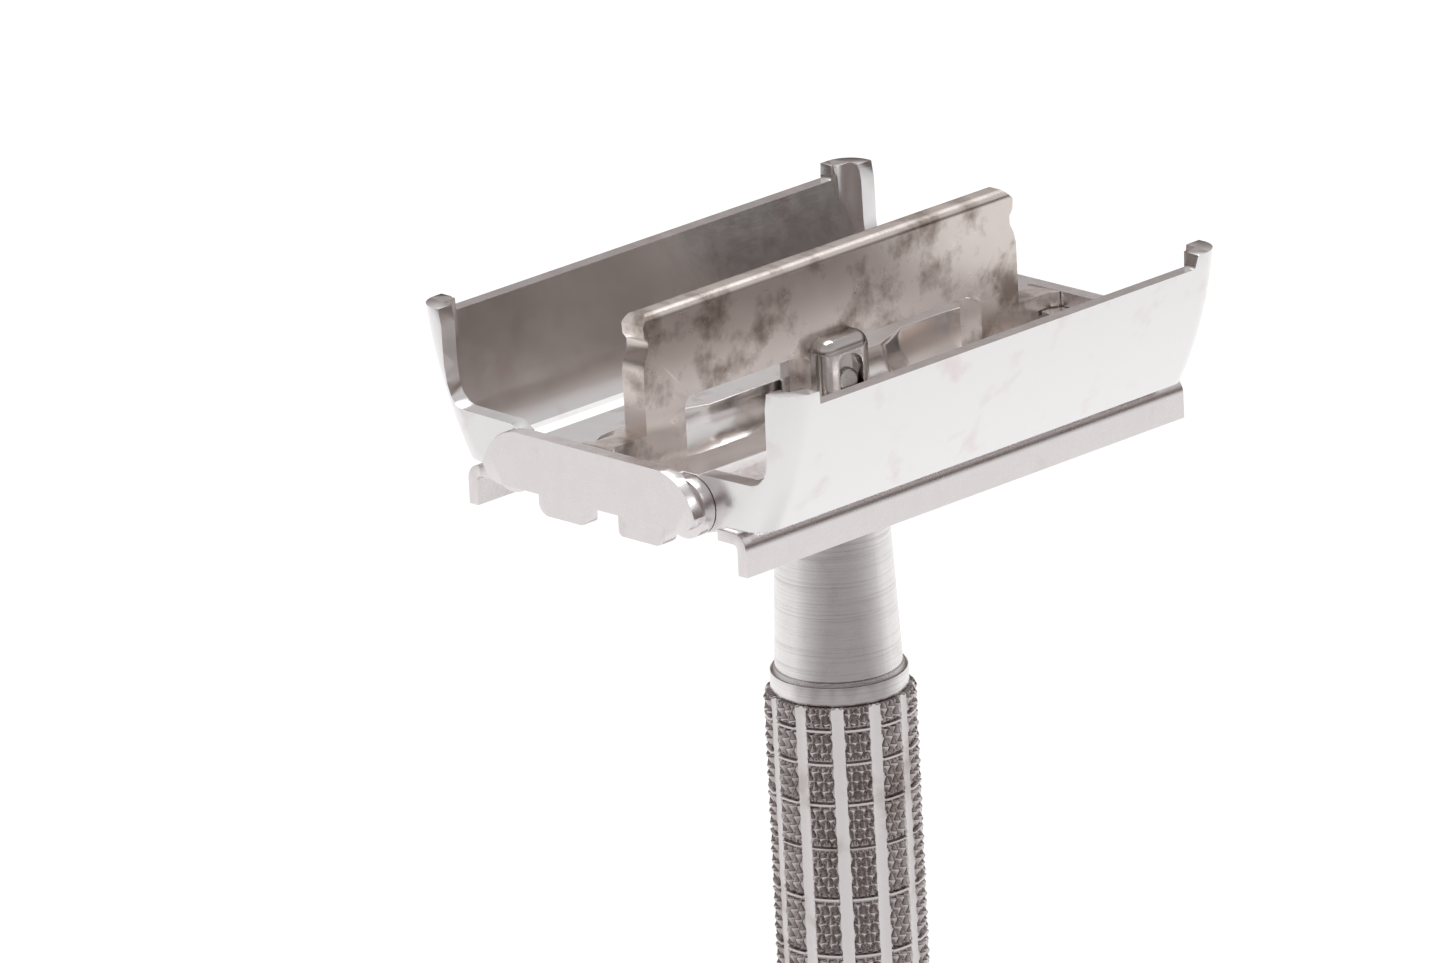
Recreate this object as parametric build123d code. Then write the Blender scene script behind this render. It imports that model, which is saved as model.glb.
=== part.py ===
from build123d import *
import math
import os

# Twist-to-open double-edge razor, doors open. Millimetres.
# Z runs up the handle, Y along the head, X across it. Z = 0 is the knob's bottom face.
# Heights of the head and handle are stated from the guard's lip bottoms (GUARD_Z above the base).

GUARD_Z = 71.5

# guard
LIP_X = 13.6
LIP_Y = 21.8
LIP_TOP = 3.0
SHEET = 0.8
LIP_WALL = 0.85
FLAT_IN = 10.9
NOTCH_X = 12.6
WEB_Y = 19.3
TAB_IN, TAB_OUT = 1.65, 6.15
TAB_Y0, TAB_Y1 = 21.0, 22.25
TAB_BOTTOM = 0.8

# tray
TRAY_X = 7.57
TRAY_TOP = 5.8
TRAY_EDGE = 0.7
TRAY_Y = 20.15
TRAY_END_X, TRAY_END_Y = 6.1, 22.2
TROUGH_WALL = 0.8
TROUGH = [(0.0, 2.9), (8.4, 2.9), (12.0, 4.26), (16.4, 4.26), (18.1, 4.0), (20.2, 2.8), (20.6, 1.6)]
SLOT_X = 1.2

# centre bar
BAR_Y = 18.5
BAR_T = 2.1
BAR_TOP = 15.4
WINDOW_TOP = 8.7
LEG_Y = 14.7
POST_Y = 2.4
LEG_BOTTOM = 2.4
FOOT_Y = 22.25
FOOT_Z0, FOOT_Z1 = 5.0, 6.9

# stem
FORK_X, FORK_Y = 2.7, 2.4
FORK_Z0, FORK_Z1 = 1.6, 9.6
RIVET_R = 0.7
RIVET_Z = 6.2
ROD_R = 2.0
SLEEVE_R = 3.4
SLEEVE_TOP, SLEEVE_BOTTOM = -24.0, -44.0
THREAD_R = 1.7
RUN = 0.05

# end caps and hinges
CAP_Y0, CAP_Y1 = 22.3, 23.4
CAP_Z0, CAP_Z1 = 2.8, 6.9
BOSS_X, BOSS_Z, BOSS_R = 8.4, 4.2, 2.15
PIN_X, PIN_Z, PIN_R = 9.6, 4.15, 0.5
BOSS_Y0 = 21.55

# doors
DOOR_Y = 21.5
WALL_Y = 20.2
SKIN = 0.9
OUT_LOW, OUT_MID, OUT_TOP = (14.8, 3.2), (17.0, 7.9), (18.45, 13.6)
RECESS_Z = 12.6
LUG_Y = 18.95
DOOR_ROUND = 2.0

# handle
NECK_TOP_R, NECK_LOW_R = 3.79, 4.52
NECK_TOP, NECK_LOW = 2.2, -14.9
COLLAR_R, COLLAR_LOW = 4.9, -16.6
BARREL_R = 5.5
BARREL_LOW = -57.6
RINGS = [-18.25, -20.7, -23.7, -27.0, -30.8, -35.0, -39.2, -43.4, -47.2, -50.5, -53.5, -55.95]
BORE_R = 3.45
KNOB_TOP, KNOB_LOW = -58.05, -71.5


def block(x0, x1, y0, y1, z0, z1):
    """Box between two corners."""
    centre = ((x0 + x1) / 2, (y0 + y1) / 2, (z0 + z1) / 2)
    return Pos(*centre) * Box(x1 - x0, y1 - y0, z1 - z0)


def rod_z(r, z0, z1, x=0.0, y=0.0):
    return Pos(x, y, (z0 + z1) / 2) * Cylinder(r, z1 - z0)


def rod_y(r, y0, y1, x, z):
    return Pos(x, (y0 + y1) / 2, z) * Rot(90, 0, 0) * Cylinder(r, y1 - y0)


def rod_x(r, x0, x1, y, z):
    return Pos((x0 + x1) / 2, y, z) * Rot(0, 90, 0) * Cylinder(r, x1 - x0)


def turned(profile):
    """Solid of revolution about Z from (r, z) points."""
    pts = [Vector(r, 0, z) for r, z in profile]
    edges = [Line(pts[i], pts[(i + 1) % len(pts)]).edge() for i in range(len(pts))]
    return revolve(Face(Wire(edges)), Axis.Z, 360)


def both_x(shape):
    return shape + mirror(shape, Plane.YZ)


def both_y(shape):
    return shape + mirror(shape, Plane.XZ)


def guard_plate():
    lip = block(FLAT_IN, LIP_X, -LIP_Y, LIP_Y, LIP_TOP - SHEET, LIP_TOP)
    lip += block(LIP_X - LIP_WALL, LIP_X, -LIP_Y, LIP_Y, 0, LIP_TOP)
    shoulder = [e for e in lip.edges().filter_by(Axis.Y)
                if abs(e.center().X - LIP_X) < 0.01 and abs(e.center().Z - LIP_TOP) < 0.01]
    lip = fillet(shoulder, 1.2)
    inner = [e for e in lip.edges().filter_by(Axis.Y)
             if abs(e.center().X - (LIP_X - LIP_WALL)) < 0.01 and abs(e.center().Z - (LIP_TOP - SHEET)) < 0.01]
    lip = fillet(inner, 0.4)
    lip -= both_y(block(FLAT_IN - 1, NOTCH_X, 19.9, 21.55, 1, 4))
    plate = both_x(lip)
    web = block(-FLAT_IN, FLAT_IN, -WEB_Y, WEB_Y, LIP_TOP - SHEET, LIP_TOP)
    web += both_y(block(-TAB_OUT, TAB_OUT, WEB_Y - 0.5, TAB_Y1, LIP_TOP - SHEET, LIP_TOP))
    web -= both_y(block(-4.35, 4.35, 5.2, 20.98, 1, 4))
    web -= both_y(block(-TAB_IN, TAB_IN, 20.5, 23, 1, 4))
    plate += web
    tab = block(TAB_IN, TAB_OUT, TAB_Y0, TAB_Y1, TAB_BOTTOM, LIP_TOP)
    corner = [e for e in tab.edges().filter_by(Axis.Y)
              if e.center().Z < TAB_BOTTOM + 0.01 and e.center().X > TAB_OUT - 0.01]
    tab = fillet(corner, 0.9)
    inner_corner = [e for e in tab.edges().filter_by(Axis.Y)
                    if e.center().Z < TAB_BOTTOM + 0.01 and e.center().X < TAB_IN + 0.01]
    tab = fillet(inner_corner, 0.4)
    plate += both_x(both_y(tab))
    plate -= block(-SLOT_X, SLOT_X, -5.3, 5.3, 1, 4)
    head_hole = block(-2.85, 2.85, -2.55, 2.55, 1, 4)
    head_hole = fillet(head_hole.edges().filter_by(Axis.Z), 1.2)
    return plate - head_hole


def trough_solid(extra, y_end):
    """Solid of revolution about the line X = 0, Z = TRAY_TOP, parallel to Y."""
    half = [(y, r + extra) for y, r in TROUGH]
    half[-1] = (y_end, half[-1][1])
    pts = [(-y, r) for y, r in reversed(half)] + half[1:]
    outline = [Vector(0, pts[0][0], TRAY_TOP)]
    outline += [Vector(r, y, TRAY_TOP) for y, r in pts]
    outline += [Vector(0, pts[-1][0], TRAY_TOP)]
    edges = [Line(outline[i], outline[i + 1]).edge() for i in range(len(outline) - 1)]
    edges.append(Line(outline[-1], outline[0]).edge())
    axis = Axis((0, 0, TRAY_TOP), (0, 1, 0))
    return revolve(Face(Wire(edges)), axis, 360)


def blade_tray():
    outer = trough_solid(TROUGH_WALL, 20.93)
    outer -= block(-20, 20, -30, 30, TRAY_TOP, TRAY_TOP + 20)
    tray = block(-TRAY_X, TRAY_X, -TRAY_Y, TRAY_Y, TRAY_TOP - TRAY_EDGE, TRAY_TOP)
    tray += block(-TRAY_END_X, TRAY_END_X, -TRAY_END_Y, TRAY_END_Y, TRAY_TOP - TRAY_EDGE, TRAY_TOP)
    tray += outer
    tray += both_x(block(4.95, 5.75, -18.0, 18.0, LIP_TOP, TRAY_TOP - 0.3))
    tray -= trough_solid(0.0, 20.6)
    tray -= block(-10, 10, -5.3, 5.3, 0, LIP_TOP)
    hole = block(-2.85, 2.85, -2.55, 2.55, 0, 7)
    tray -= fillet(hole.edges().filter_by(Axis.Z), 1.2)
    tray -= both_y(block(-SLOT_X, SLOT_X, 2.0, 12.2, 0, 7))
    tray -= both_y(block(-SLOT_X, SLOT_X, 13.8, 23.0, 0, 7))
    tray -= both_y(block(-1.6, 1.6, 21.5, 23.0, 0, 7))
    return tray


def bar_outline():
    """Half of the bar's side view in Y and Z, from the middle outward."""
    top = BAR_TOP
    return [
        (0, 3.2), (POST_Y, 3.2), (POST_Y, WINDOW_TOP), (LEG_Y, WINDOW_TOP), (LEG_Y, LEG_BOTTOM),
        (BAR_Y - 0.2, LEG_BOTTOM), (BAR_Y - 0.2, FOOT_Z0), (FOOT_Y, FOOT_Z0 + 0.4), (FOOT_Y, FOOT_Z1),
        (BAR_Y, FOOT_Z1), (BAR_Y, 11.4), (BAR_Y - 0.2, 12.2), (BAR_Y - 0.55, 12.9), (BAR_Y - 0.55, 13.5),
        (BAR_Y - 0.2, 13.9), (BAR_Y - 0.15, top - 0.7), (BAR_Y - 0.8, top), (0, top),
    ]


def centre_bar():
    pts = [Vector(0, y, z) for y, z in bar_outline()]
    edges = [Line(pts[i], pts[(i + 1) % len(pts)]).edge() for i in range(len(pts))]
    half = Solid.extrude(Face(Wire(edges)), Vector(BAR_T / 2, 0, 0))
    bar = both_x(both_y(half))
    windows = [e for e in bar.edges().filter_by(Axis.X)
               if abs(e.center().Z - WINDOW_TOP) < 0.01]
    bar = fillet(windows, 0.8)
    top = [e for e in bar.edges().filter_by(Axis.Y)
           if e.center().Z > BAR_TOP - 0.01 and abs(e.center().X) > 0.1]
    bar = fillet(top, 0.65)
    bar -= rod_x(RIVET_R, -5, 5, 0, RIVET_Z)
    flare = block(-1.5, 1.5, FOOT_Y - 0.6, FOOT_Y, FOOT_Z0 + 0.6, FOOT_Z1)
    flare_edges = [e for e in flare.edges().filter_by(Axis.Z) if e.center().Y < FOOT_Y - 0.3]
    flare = chamfer(flare_edges, 0.4)
    return bar + both_y(flare)


def stem_fork():
    fork = block(-FORK_X, FORK_X, -FORK_Y, FORK_Y, FORK_Z0, FORK_Z1)
    fork = fillet(fork.edges().filter_by(Axis.Z), 1.2)
    fork = fillet(fork.edges().group_by(Axis.Z)[-1], 1.1)
    fork -= block(-BAR_T / 2 - 0.01, BAR_T / 2 + 0.01, -3, 3, 3.18, 12)
    pocket = block(FORK_X - 0.6, FORK_X + 1, -1.15, 1.15, 3.6, 7.2)
    pocket += rod_x(1.15, FORK_X - 0.6, FORK_X + 1, 0, 7.2)
    fork -= both_x(pocket)
    return fork - rod_x(RIVET_R, -5, 5, 0, RIVET_Z)


def stem_rivet():
    body = rod_x(RIVET_R, -(FORK_X - 0.6), FORK_X - 0.6, 0, RIVET_Z)
    head = rod_x(1.0, FORK_X - 0.6, FORK_X - 0.25, 0, RIVET_Z)
    head = fillet(head.edges().group_by(Axis.X)[-1], 0.3)
    return body + both_x(head)


def stem_rod():
    return rod_z(ROD_R, SLEEVE_TOP, FORK_Z0)


def threaded_sleeve():
    sleeve = rod_z(SLEEVE_R, SLEEVE_BOTTOM, SLEEVE_TOP)
    sleeve -= rod_z(THREAD_R + RUN, SLEEVE_BOTTOM - 1, SLEEVE_TOP - 2.0)
    return chamfer(sleeve.edges().group_by(Axis.Z)[-1], 0.4)


def cap_plate():
    """Boat-shaped front plate: flat top, rounded drooping ends."""
    y = -CAP_Y1
    top_a, top_b = Vector(-7.0, y, CAP_Z1), Vector(7.0, y, CAP_Z1)
    side_a, side_b = Vector(-10.35, y, 4.0), Vector(10.35, y, 4.0)
    low_a, low_b = Vector(-8.3, y, CAP_Z0), Vector(8.3, y, CAP_Z0)
    edges = [
        Line(top_a, top_b).edge(),
        ThreePointArc(top_b, Vector(9.25, y, 5.85), side_b).edge(),
        ThreePointArc(side_b, Vector(9.75, y, 3.13), low_b).edge(),
        Line(low_b, low_a).edge(),
        ThreePointArc(low_a, Vector(-9.75, y, 3.13), side_a).edge(),
        ThreePointArc(side_a, Vector(-9.25, y, 5.85), top_a).edge(),
    ]
    return Part() + Solid.extrude(Face(Wire(edges)), Vector(0, CAP_Y1 - CAP_Y0, 0))


def end_cap_front():
    cap = cap_plate()
    cap += both_x(rod_y(BOSS_R, -CAP_Y0 - 0.2, -BOSS_Y0, BOSS_X, BOSS_Z))
    cap -= both_x(rod_y(PIN_R, -22.9, -20, PIN_X, PIN_Z))
    return cap


def hinge_pins():
    pin = rod_y(PIN_R, 20.05, 22.9, PIN_X, PIN_Z)
    return Compound(children=[
        Pos(0, 0, 0) * pin,
        mirror(pin, Plane.YZ),
        mirror(pin, Plane.XZ),
        mirror(mirror(pin, Plane.XZ), Plane.YZ),
    ])


def inside_skin(y0, y1, thickness):
    """Space inside the door's skin, whose top is thickness wide."""
    y = y0
    low = Vector(OUT_LOW[0] - 0.68, y, OUT_LOW[1] + 0.62)
    knee = Vector(OUT_LOW[0] + 0.2, y, 5.0)
    mid = Vector(OUT_MID[0] - 0.93, y, OUT_MID[1] + 0.35)
    high = Vector(OUT_TOP[0] - thickness, y, OUT_TOP[1] + 0.6)
    far_high = Vector(4, y, OUT_TOP[1] + 0.6)
    far_low = Vector(4, y, -1)
    under = Vector(OUT_LOW[0] + 0.55, y, OUT_LOW[1] - 0.75)
    edges = [
        ThreePointArc(high, mid, knee).edge(),
        Line(knee, low).edge(),
        Line(low, under).edge(),
        Line(under, far_low).edge(),
        Line(far_low, far_high).edge(),
        Line(far_high, high).edge(),
    ]
    return Part() + Solid.extrude(Face(Wire(edges)), Vector(0, y1 - y0, 0))


def lug_thickening(y0, y1):
    """Wedge that makes the skin thicker at a lug."""
    outline = [(16.95, 13.6), (17.95, 13.6), (17.25, 10.2), (16.75, 9.9)]
    pts = [Vector(x, y0, z) for x, z in outline]
    edges = [Line(pts[i], pts[(i + 1) % 4]).edge() for i in range(4)]
    return Part() + Solid.extrude(Face(Wire(edges)), Vector(0, y1 - y0, 0))


def inside_walls():
    """Space inside the end walls and above and below their arms."""
    outline = [
        (4, -1), (4, 15), (16.0, 15), (16.0, 13.6), (15.8, 12.4), (15.75, 9.4), (15.6, 8.2), (15.3, 7.4),
        (14.75, 6.85), (14.1, 6.65), (9.3, 6.55), (8.4, 6.0), (7.9, 4.6), (8.05, 3.4), (8.8, 2.6),
        (9.7, 2.42), (10.6, 2.7), (11.2, 3.15), (15.3, 3.15), (15.3, -1),
    ]
    pts = [Vector(x, -30, z) for x, z in outline]
    edges = [Line(pts[i], pts[(i + 1) % len(pts)]).edge() for i in range(len(pts))]
    return Part() + Solid.extrude(Face(Wire(edges)), Vector(0, 60, 0))


def door_envelope():
    """Everything inside the outer arc, with the two arc edges at the ends rounded."""
    low = Vector(OUT_LOW[0], -DOOR_Y, OUT_LOW[1])
    mid = Vector(OUT_MID[0], -DOOR_Y, OUT_MID[1])
    high = Vector(OUT_TOP[0], -DOOR_Y, OUT_TOP[1])
    back_high = Vector(5, -DOOR_Y, OUT_TOP[1])
    back_low = Vector(5, -DOOR_Y, 1)
    edges = [
        ThreePointArc(low, mid, high).edge(),
        Line(high, back_high).edge(),
        Line(back_high, back_low).edge(),
        Line(back_low, low).edge(),
    ]
    solid = Part() + Solid.extrude(Face(Wire(edges)), Vector(0, 2 * DOOR_Y, 0))
    ends = [e for e in solid.edges().filter_by(GeomType.CIRCLE) if abs(abs(e.center().Y) - DOOR_Y) < 0.01]
    return fillet(ends, DOOR_ROUND)


def top_recess():
    """The skin's top edge is lower between the two lugs, with short ramps."""
    run = LUG_Y - 0.35
    pts = [Vector(12, -run, RECESS_Z), Vector(12, run, RECESS_Z), Vector(12, LUG_Y, 14.2), Vector(12, -LUG_Y, 14.2)]
    edges = [Line(pts[i], pts[(i + 1) % 4]).edge() for i in range(4)]
    return Part() + Solid.extrude(Face(Wire(edges)), Vector(10, 0, 0))


def door_right():
    door = door_envelope() - inside_walls()
    door -= inside_skin(-WALL_Y, WALL_Y, SKIN)
    door += both_y(lug_thickening(LUG_Y, WALL_Y + 0.4))
    door -= top_recess()
    return door - both_y(rod_y(PIN_R + RUN, 19, 22, PIN_X, PIN_Z))


def neck_sleeve():
    neck = turned([(0, NECK_LOW), (NECK_LOW_R, NECK_LOW), (NECK_TOP_R, NECK_TOP), (0, NECK_TOP)])
    neck -= rod_z(3.2, -5.6, NECK_TOP + 1)
    neck -= block(-SLOT_X, SLOT_X, -6, 6, 1.55, NECK_TOP + 1)
    return neck - rod_z(ROD_R + RUN, NECK_LOW - 1, 0)


def collar_ring():
    ring = turned([(0, COLLAR_LOW), (COLLAR_R, COLLAR_LOW), (COLLAR_R, NECK_LOW - 0.25),
                   (COLLAR_R - 0.25, NECK_LOW), (0, NECK_LOW)])
    return ring - rod_z(ROD_R + RUN, COLLAR_LOW - 1, NECK_LOW + 1)


def handle_barrel():
    profile = [(BORE_R, COLLAR_LOW), (BARREL_R - 0.35, COLLAR_LOW), (BARREL_R, COLLAR_LOW - 0.4)]
    for z in RINGS:
        profile += [(BARREL_R, z + 0.28), (BARREL_R - 0.3, z + 0.1), (BARREL_R - 0.3, z - 0.1), (BARREL_R, z - 0.28)]
    profile += [(BARREL_R, BARREL_LOW + 0.3), (BARREL_R - 0.3, BARREL_LOW), (BORE_R, BARREL_LOW)]
    return turned(profile)


def guide_bush():
    return rod_z(BORE_R, -21.6, COLLAR_LOW) - rod_z(ROD_R + RUN, -30, 0)


def barrel_bush():
    return rod_z(BORE_R, BARREL_LOW, -56.7) - rod_z(2.6 + RUN, -60, -50)


def friction_washer():
    return rod_z(4.7, -58.0, BARREL_LOW) - rod_z(2.6 + RUN, -60, -50)


def knob_shell():
    profile = [(2.6, KNOB_TOP), (BARREL_R - 0.35, KNOB_TOP), (BARREL_R, KNOB_TOP - 0.4)]
    for z in (-60.3, -63.6, -66.9):
        profile += [(BARREL_R, z + 0.28), (BARREL_R - 0.3, z + 0.1), (BARREL_R - 0.3, z - 0.1), (BARREL_R, z - 0.28)]
    profile += [(BARREL_R, -69.6), (BARREL_R - 0.35, -70.3), (BARREL_R - 0.35, KNOB_LOW + 0.5)]
    profile += [(BARREL_R - 0.85, KNOB_LOW), (4.0, KNOB_LOW), (4.0, -70.6), (2.6, -70.6)]
    return turned(profile)


def threaded_spindle():
    spindle = rod_z(2.6, -70.0, -55.6)
    spindle += rod_z(THREAD_R, -55.7, -33.3)
    return chamfer(spindle.edges().group_by(Axis.Z)[-1], 0.4)


def spindle_collar():
    return rod_z(3.3, -56.65, -55.65) - rod_z(2.6, -60, -50)


def knob_end_disc():
    disc = rod_z(4.0, -71.2, -70.6)
    disc += rod_z(2.6, -70.7, -70.0)
    return disc - block(-5, 5, -0.4, 0.4, -72, -70.9)


def save(name, shape):
    placed = shape.moved(Location((0, 0, GUARD_Z)))
    export_step(placed, "parts/" + name + ".step")


os.makedirs("parts", exist_ok=True)
cap = end_cap_front()
right = door_right()
save("guard_plate", guard_plate())
save("blade_tray", blade_tray())
save("neck_sleeve", neck_sleeve())
save("collar_ring", collar_ring())
save("handle_barrel", handle_barrel())
save("guide_bush", guide_bush())
save("barrel_bush", barrel_bush())
save("friction_washer", friction_washer())
save("centre_bar", centre_bar())
save("stem_fork", stem_fork())
save("stem_rivet", stem_rivet())
save("stem_rod", stem_rod())
save("threaded_sleeve", threaded_sleeve())
save("end_cap_front", cap)
save("end_cap_rear", mirror(cap, Plane.XZ))
save("hinge_pins", hinge_pins())
save("door_right", right)
save("door_left", mirror(right, Plane.YZ))
save("knob_shell", knob_shell())
save("threaded_spindle", threaded_spindle())
save("spindle_collar", spindle_collar())
save("knob_end_disc", knob_end_disc())
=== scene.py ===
import math

import bpy
from mathutils import Matrix, Vector


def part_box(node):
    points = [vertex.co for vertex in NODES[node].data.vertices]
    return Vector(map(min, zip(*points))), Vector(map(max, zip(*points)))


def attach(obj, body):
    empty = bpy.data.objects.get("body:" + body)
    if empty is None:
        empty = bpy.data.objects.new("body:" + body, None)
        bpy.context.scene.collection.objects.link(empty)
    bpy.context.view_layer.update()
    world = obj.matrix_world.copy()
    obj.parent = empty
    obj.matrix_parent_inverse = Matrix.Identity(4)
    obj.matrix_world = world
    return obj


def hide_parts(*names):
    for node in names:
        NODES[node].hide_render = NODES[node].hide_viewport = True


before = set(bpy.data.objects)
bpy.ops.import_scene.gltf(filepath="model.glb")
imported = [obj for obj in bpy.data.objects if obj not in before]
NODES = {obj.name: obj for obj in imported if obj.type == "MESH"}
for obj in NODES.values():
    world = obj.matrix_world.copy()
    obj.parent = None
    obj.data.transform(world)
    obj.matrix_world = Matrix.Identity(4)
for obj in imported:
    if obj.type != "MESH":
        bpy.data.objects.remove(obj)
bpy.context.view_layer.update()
MM = 0.001
BASE_Z = 0.0715  # height of the guard's lip bottoms; the handle's heights are stated from there


# ---------- node helpers ----------

def new_material(name):
    mat = bpy.data.materials.new(name)
    mat.use_nodes = True
    tree = mat.node_tree
    return mat, tree, tree.nodes["Principled BSDF"]


def add(tree, kind, **settings):
    node = tree.nodes.new(kind)
    for key, value in settings.items():
        setattr(node, key, value)
    return node


def coords(tree, scale):
    pos = add(tree, "ShaderNodeTexCoord")
    mapping = add(tree, "ShaderNodeMapping")
    mapping.inputs["Scale"].default_value = scale
    tree.links.new(pos.outputs["Object"], mapping.inputs["Vector"])
    return mapping.outputs["Vector"]


def noise(tree, scale, detail=4.0, rough=0.55, stretch=(1, 1, 1)):
    node = add(tree, "ShaderNodeTexNoise")
    node.inputs["Scale"].default_value = scale
    node.inputs["Detail"].default_value = detail
    node.inputs["Roughness"].default_value = rough
    tree.links.new(coords(tree, stretch), node.inputs["Vector"])
    return node.outputs["Fac"]


def ramp(tree, source, stops):
    node = add(tree, "ShaderNodeValToRGB")
    tree.links.new(source, node.inputs["Fac"])
    el = node.color_ramp.elements
    while len(el) < len(stops):
        el.new(0.5)
    for item, (place, colour) in zip(el, stops):
        item.position = place
        item.color = (*colour, 1.0)
    return node.outputs["Color"]


def multiply(tree, tone, shade, amount=1.0):
    node = add(tree, "ShaderNodeMix", data_type="RGBA", blend_type="MULTIPLY")
    node.inputs[0].default_value = amount
    tree.links.new(tone, node.inputs[6])
    tree.links.new(shade, node.inputs[7])
    return node.outputs[2]


def bumped(tree, bsdf, layers):
    """Chain of bump nodes, one per (height, distance in metres, strength)."""
    last = None
    for height, distance, strength in layers:
        node = add(tree, "ShaderNodeBump")
        node.inputs["Distance"].default_value = distance
        node.inputs["Strength"].default_value = strength
        tree.links.new(height, node.inputs["Height"])
        if last is not None:
            tree.links.new(last, node.inputs["Normal"])
        last = node.outputs["Normal"]
    tree.links.new(last, bsdf.inputs["Normal"])


def painted_side_shade(tree, tone, direction, start, end, dark):
    """Painted shade: darken a turned part's tone on the side that faces direction; start and end are metres from
    the axis.
    """
    dot = add(tree, "ShaderNodeVectorMath", operation="DOT_PRODUCT")
    tree.links.new(coords(tree, (1, 1, 1)), dot.inputs[0])
    dot.inputs[1].default_value = direction
    wide = add(tree, "ShaderNodeMapRange")
    wide.inputs["From Min"].default_value = start
    wide.inputs["From Max"].default_value = end
    tree.links.new(dot.outputs["Value"], wide.inputs["Value"])
    shade = ramp(tree, wide.outputs["Result"], [(0.0, WHITE), (1.0, dark)])
    return multiply(tree, tone, shade)


def scratched(tree, tone, stretch):
    """Fine darker lines along the long side of the stretched noise."""
    scratch = noise(tree, 1.0, 3.0, 0.75, stretch=stretch)
    shade = ramp(tree, scratch, [(0.32, (0.66, 0.64, 0.64)), (0.50, (0.95, 0.95, 0.95)), (1.0, WHITE)])
    return multiply(tree, tone, shade, 0.8)


def shade_knurl_pits(tree, tone):
    """Painted shade in the knurl pits: darker with the depth stored in the sleeve's points."""
    depth = add(tree, "ShaderNodeAttribute", attribute_name="pit")
    stops = [(0.0, (0.98, 0.98, 0.98)), (0.15, (0.92, 0.91, 0.91)), (1.0, (0.44, 0.405, 0.40))]
    return multiply(tree, tone, ramp(tree, depth.outputs["Fac"], stops))


def uneven_gloss(tree, bsdf, rough):
    wander = noise(tree, 700.0, 5.0, 0.6)
    gloss = add(tree, "ShaderNodeMapRange")
    gloss.inputs["To Min"].default_value = max(rough - GLOSS_SPREAD * 0.5, 0.03)
    gloss.inputs["To Max"].default_value = rough + GLOSS_SPREAD
    tree.links.new(wander, gloss.inputs["Value"])
    tree.links.new(gloss.outputs["Result"], bsdf.inputs["Roughness"])


WHITE = (1, 1, 1)
GLOSS_SPREAD = 0.10
STAIN_EDGE = 0.16


def nickel(name, base, stain, rough, stain_at=0.6, brush=None, brush_depth=0.000004, pit=0.000006,
           lines=None, side_shade=None, pit_shade=False):
    """Old nickel plate: warm tone, blotchy stains, fine brush lines, pits and uneven gloss; optionally painted
    shade on one side and in the knurl pits.
    """
    mat, tree, bsdf = new_material(name)
    bsdf.inputs["Metallic"].default_value = 1.0
    blotch = noise(tree, 260.0, 6.0, 0.60)
    stains = ramp(tree, blotch, [(0.0, base), (stain_at, base), (min(stain_at + STAIN_EDGE, 1.0), stain)])
    fine = noise(tree, 2600.0, 3.0, 0.7)
    specks = ramp(tree, fine, [(0.0, (0.55, 0.52, 0.50)), (0.34, WHITE), (1.0, WHITE)])
    tone = multiply(tree, stains, specks, 0.55)
    if lines is not None:
        tone = scratched(tree, tone, lines)
    # painted shade: one side of the part is darkened
    if side_shade is not None:
        tone = painted_side_shade(tree, tone, *side_shade)
    # painted shade: the knurl pits are darkened by their depth
    if pit_shade:
        tone = shade_knurl_pits(tree, tone)
    tree.links.new(tone, bsdf.inputs["Base Color"])
    uneven_gloss(tree, bsdf, rough)
    layers = [(noise(tree, 300.0, 3.0, 0.5), 0.00002, 0.5), (fine, pit, 0.6)]
    if brush is not None:
        layers.append((noise(tree, 1.0, 4.0, 0.7, stretch=brush), brush_depth, 0.8))
    bumped(tree, bsdf, layers)
    return mat


BRIGHT = nickel("nickel_bright", (0.56, 0.53, 0.51), (0.36, 0.30, 0.26), 0.12, 0.58, brush=(300, 300, 5200))
DOOR = nickel("nickel_door", (0.83, 0.815, 0.82), (0.76, 0.69, 0.69), 0.19, 0.57, brush=(5200, 160, 5200),
              brush_depth=0.000003)
BAR = nickel("nickel_bar", (0.80, 0.73, 0.69), (0.36, 0.30, 0.26), 0.27, 0.49, brush=(900, 900, 3000),
             pit=0.00001)
SATIN = nickel("nickel_satin", (0.80, 0.765, 0.765), (0.72, 0.67, 0.665), 0.25, 0.62, brush=(4200, 4200, 260),
               brush_depth=0.000005)
TRAY = nickel("nickel_tray", (0.93, 0.91, 0.905), (0.64, 0.575, 0.54), 0.17, 0.57, brush=(2600, 140, 2600),
              brush_depth=0.000005)
# the neck and collar are darkened on their front side: painted shade
TURNED = nickel("nickel_turned", (0.84, 0.82, 0.82), (0.72, 0.68, 0.67), 0.24, 0.60, brush=(150, 150, 6000),
                brush_depth=0.00001, lines=(60, 60, 6000),
                side_shade=((0.78, -0.62, 0.0), 0.0029, 0.0042, (0.50, 0.475, 0.475)))
# the knurl's pits are darkened by depth: painted shade
KNURL = nickel("nickel_knurl", (0.68, 0.65, 0.65), (0.50, 0.455, 0.44), 0.20, 0.54, pit=0.000001,
               pit_shade=True)
BRASS = nickel("brass", (0.66, 0.50, 0.24), (0.46, 0.33, 0.15), 0.28, 0.55, brush=(8, 8, 6000))
STEEL = nickel("steel_pin", (0.58, 0.56, 0.54), (0.40, 0.36, 0.33), 0.26, 0.55, brush=(8, 8, 5000))

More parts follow.
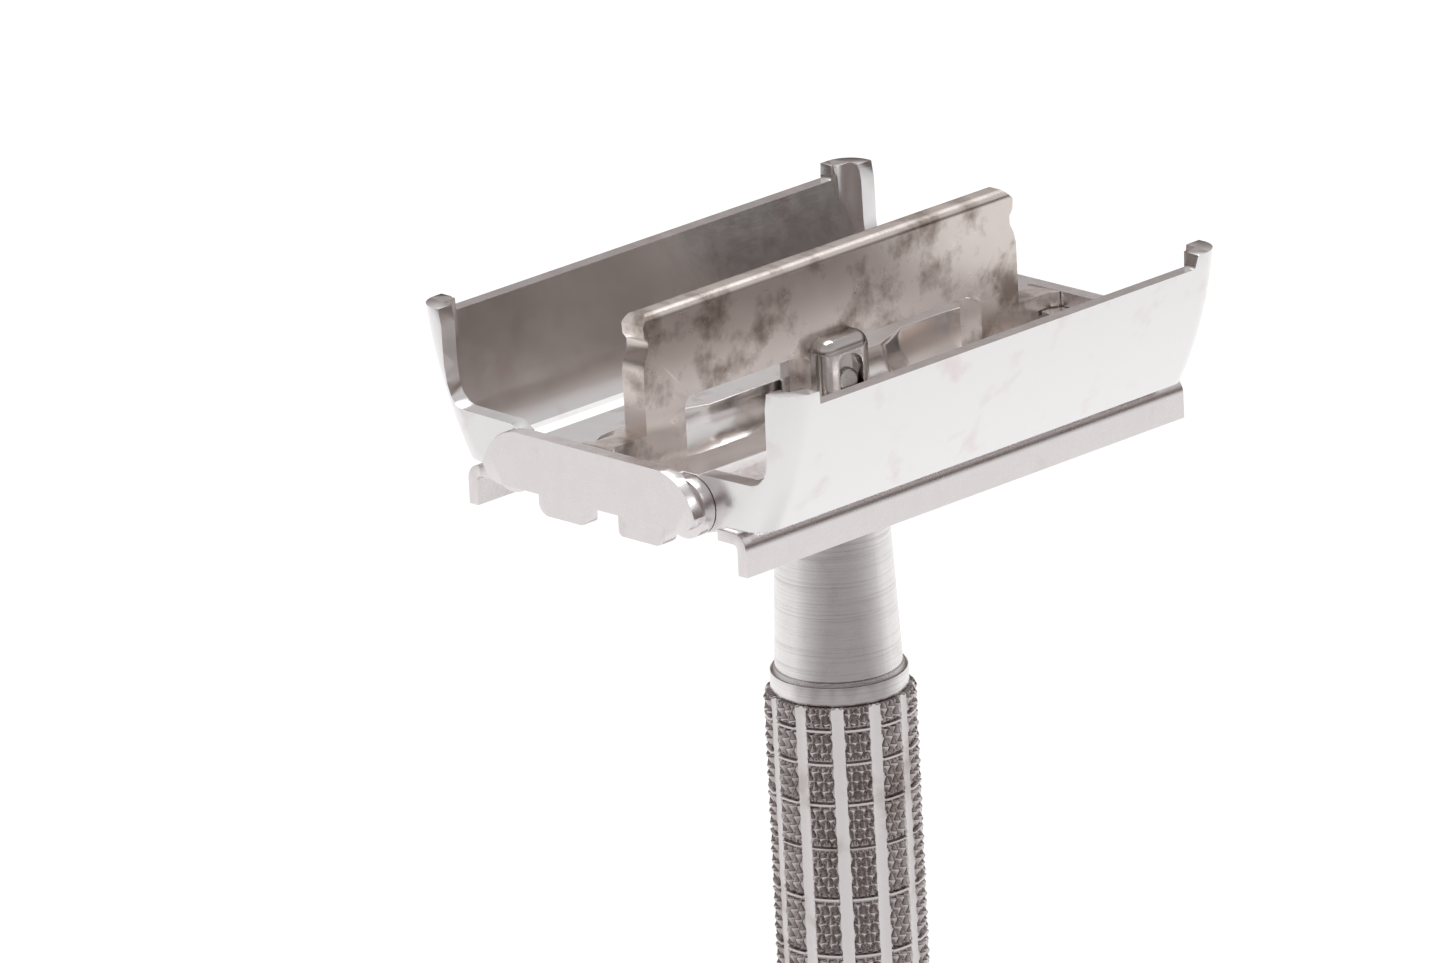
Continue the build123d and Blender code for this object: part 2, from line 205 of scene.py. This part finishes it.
LOOK = {
    "door_left": DOOR, "door_right": DOOR, "centre_bar": BAR, "stem_fork": BRIGHT, "blade_tray": TRAY,
    "guard_plate": SATIN, "end_cap_front": SATIN, "end_cap_rear": SATIN, "neck_sleeve": TURNED,
    "collar_ring": TURNED, "handle_barrel": KNURL, "knob_shell": KNURL, "knob_end_disc": TURNED,
    "guide_bush": BRASS, "barrel_bush": BRASS, "friction_washer": BRASS, "threaded_sleeve": BRASS,
    "threaded_spindle": BRASS, "stem_rod": STEEL, "stem_rivet": STEEL, "hinge_pins": STEEL,
    "spindle_collar": STEEL,
}


def dress(obj, mat):
    obj.data.materials.clear()
    obj.data.materials.append(mat)


for node_name, obj in NODES.items():
    dress(obj, LOOK[node_name])


# ---------- softened edges on the carried-over parts ----------

def soften(name, width):
    obj = NODES[name]
    weld = obj.modifiers.new("weld", "WELD")
    weld.merge_threshold = 0.000002
    bevel = obj.modifiers.new("bevel", "BEVEL")
    bevel.width = width
    bevel.segments = 3
    bevel.limit_method = "ANGLE"
    bevel.angle_limit = math.radians(32)
    obj.data.polygons.foreach_set("use_smooth", [True] * len(obj.data.polygons))
    keep = obj.modifiers.new("normals", "WEIGHTED_NORMAL")
    keep.keep_sharp = True


for name, width in (("door_left", 0.16), ("door_right", 0.16), ("centre_bar", 0.14), ("stem_fork", 0.12),
                    ("blade_tray", 0.10), ("guard_plate", 0.12), ("end_cap_front", 0.16),
                    ("end_cap_rear", 0.16), ("collar_ring", 0.10), ("stem_rivet", 0.05)):
    soften(name, width * MM)


# ---------- knurled sleeves ----------

PANELS = 12
PHASE = 0.40        # share of a panel by which the first flute is turned
FLUTE = 0.165       # half width of a flute, as a share of a panel's pitch
PYRAMIDS = 2.5      # across a panel
PYRAMID_TALL = 1.42
KNURL_DEPTH = 0.40
RIM = 0.25
BARREL_RINGS = [-18.25, -20.7, -23.7, -27.0, -30.8, -35.0, -39.2, -43.4, -47.2, -50.5, -53.5, -55.95]
KNOB_RINGS = [-60.3, -63.6, -66.9]
BARREL_BORE, KNOB_BORE = 3.45, 2.6
KNOB_FOOT = [(5.5, -69.6), (5.4, -69.85), (5.2, -70.2), (5.14, -70.9), (4.95, -71.3), (4.65, -71.5),
             (4.0, -71.5), (4.0, -70.6)]


def from_flute(angle):
    """Distance round the handle from the nearest flute's middle, and the place across the panel."""
    turn = (angle / (2 * math.pi) * PANELS - PHASE) % 1.0
    return min(turn, 1.0 - turn), (turn - FLUTE) / (1 - 2 * FLUTE)


def groove(place):
    """1 in the bottom of a groove, 0 half way between two."""
    return abs((place % 1.0) - 0.5) * 2.0


def knurl_depth(angle, z, rings, top, low):
    """Depth below the outer radius, in millimetres, on the handle's outside."""
    off, across = from_flute(angle)
    if off < FLUTE:
        depth = 0.40 - 0.14 * (off / FLUTE) ** 2
    else:
        lean = z / PYRAMID_TALL
        depth = KNURL_DEPTH * max(groove(across * PYRAMIDS + lean), groove(across * PYRAMIDS - lean))
        depth = max(depth, 0.30 * (1 - (off - FLUTE) / 0.05))
        ring = min(abs(z - r) for r in rings)
        if ring < 0.11:
            depth = 0.10
        elif ring < 0.30:
            depth = max(depth, 0.36)
    rim = min(top - z, z - low)
    if rim < RIM:
        depth = max(depth, 0.40 * (1 - rim / RIM))
    return depth


def ring_point(r, z, angle):
    return (r * math.cos(angle) * MM, r * math.sin(angle) * MM, z * MM + BASE_Z)


def knurled_sleeve(name, node, body, rings, bore, foot):
    """Knurled tube with the node's height and radius; foot is the smooth profile below the knurl."""
    low_corner, high_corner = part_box(node)
    top = high_corner[2] / MM - BASE_Z / MM
    outer = (high_corner[0] - low_corner[0]) / 2 / MM
    knurl_low = foot[0][1] if foot else low_corner[2] / MM - BASE_Z / MM
    around = 576
    step = 0.075
    angles = [2 * math.pi * k / around for k in range(around)]
    rows = int((top - knurl_low) / step) + 1
    verts, pits = [], []
    for i in range(rows):
        z = top - (top - knurl_low) * i / (rows - 1)
        for angle in angles:
            r = outer - knurl_depth(angle, z, rings, top, knurl_low)
            verts.append(ring_point(r, z, angle))
            # the pit depth share drives the painted shade in the knurl pits
            pits.append(min((outer - r) / KNURL_DEPTH, 1.0) if from_flute(angle)[0] > FLUTE else 0.0)
    bottom = foot[-1][1] if foot else knurl_low
    for r, z in foot[1:] + [(bore, bottom), (bore, top)]:
        verts += [ring_point(r, z, angle) for angle in angles]
        pits += [0.0] * around
    starts = list(range(0, len(verts), around)) + [0]
    faces = [(a + k, b + k, b + (k + 1) % around, a + (k + 1) % around)
             for a, b in zip(starts, starts[1:]) for k in range(around)]
    mesh = bpy.data.meshes.new(name)
    mesh.from_pydata(verts, [], faces)
    mesh.validate()
    mesh.update()
    mesh.attributes.new("pit", "FLOAT", "POINT").data.foreach_set("value", pits)
    mesh.polygons.foreach_set("use_smooth", [True] * len(mesh.polygons))
    mesh.set_sharp_from_angle(angle=math.radians(50))
    obj = bpy.data.objects.new(name, mesh)
    bpy.context.scene.collection.objects.link(obj)
    dress(obj, KNURL)
    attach(obj, body)
    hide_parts(node)


knurled_sleeve("knurled_barrel", "handle_barrel", "handle", BARREL_RINGS, BARREL_BORE, [])
knurled_sleeve("knurled_knob", "knob_shell", "knob", KNOB_RINGS, KNOB_BORE, KNOB_FOOT)


# ---------- floor, light and camera ----------

def stage_material():
    mat, tree, bsdf = new_material("pale_floor")
    tone = noise(tree, 3.0, 3.0, 0.5)
    colour = ramp(tree, tone, [(0.3, (0.93, 0.93, 0.93)), (0.7, (0.95, 0.95, 0.95))])
    tree.links.new(colour, bsdf.inputs["Base Color"])
    bsdf.inputs["Roughness"].default_value = 0.9
    return mat


def make_floor():
    half = 3.0
    mesh = bpy.data.meshes.new("floor")
    mesh.from_pydata([(-half, -half, 0), (half, -half, 0), (half, half, 0), (-half, half, 0)], [], [(0, 1, 2, 3)])
    obj = bpy.data.objects.new("floor", mesh)
    bpy.context.scene.collection.objects.link(obj)
    dress(obj, stage_material())


make_floor()


def overhead_light(x, y, z, size, watts):
    """Square soft light that looks straight down."""
    light = bpy.data.lights.new("key", "AREA")
    light.shape = "SQUARE"
    light.size = size
    light.energy = watts
    obj = bpy.data.objects.new("key", light)
    obj.location = (x, y, z)
    bpy.context.scene.collection.objects.link(obj)


def set_world():
    """Dim, warm round the horizon and brighter overhead, so that upright metal has something dark to reflect."""
    world = bpy.data.worlds.new("studio")
    bpy.context.scene.world = world
    world.use_nodes = True
    tree = world.node_tree
    coord = tree.nodes.new("ShaderNodeTexCoord")
    split = tree.nodes.new("ShaderNodeSeparateXYZ")
    tree.links.new(coord.outputs["Generated"], split.inputs["Vector"])
    stops = [(0.0, (0.08, 0.063, 0.057)), (0.14, (0.105, 0.085, 0.076)), (0.31, (0.33, 0.28, 0.26)),
             (0.46, (0.70, 0.69, 0.69)), (1.0, (0.46, 0.46, 0.46))]
    sky = tree.nodes["Background"]
    tree.links.new(ramp(tree, split.outputs["Z"], stops), sky.inputs["Color"])
    sky.inputs["Strength"].default_value = 1.0


set_world()
overhead_light(-0.16, 0.15, 0.68, 0.55, 3.6)

AZ, EL, ROLL = math.radians(45.79), math.radians(18.26), math.radians(-2.94)
LENS, SENSOR, DISTANCE = 370.2, 36.0, 1.0376
AIM_RIGHT, AIM_UP = -7.43, -1.50


def make_camera():
    back = Vector((math.sin(AZ) * math.cos(EL), -math.cos(AZ) * math.cos(EL), math.sin(EL)))
    right = Vector((math.cos(AZ), math.sin(AZ), 0.0))
    up = back.cross(right)
    r = math.cos(ROLL) * right + math.sin(ROLL) * up
    u = -math.sin(ROLL) * right + math.cos(ROLL) * up
    data = bpy.data.cameras.new("camera")
    data.sensor_width = SENSOR
    data.lens = LENS
    data.clip_start = 0.01
    data.clip_end = 50.0
    obj = bpy.data.objects.new("camera", data)
    rot = Matrix((r, u, back)).transposed().to_4x4()
    aim = Vector((0.0, 0.0, BASE_Z)) + r * (AIM_RIGHT * MM) + u * (AIM_UP * MM)
    obj.matrix_world = Matrix.Translation(aim + back * DISTANCE) @ rot
    bpy.context.scene.collection.objects.link(obj)
    bpy.context.scene.camera = obj


make_camera()
scene = bpy.context.scene
scene.view_settings.view_transform = "Standard"
scene.view_settings.look = "None"
scene.view_settings.exposure = 0.0
scene.view_settings.gamma = 1.0
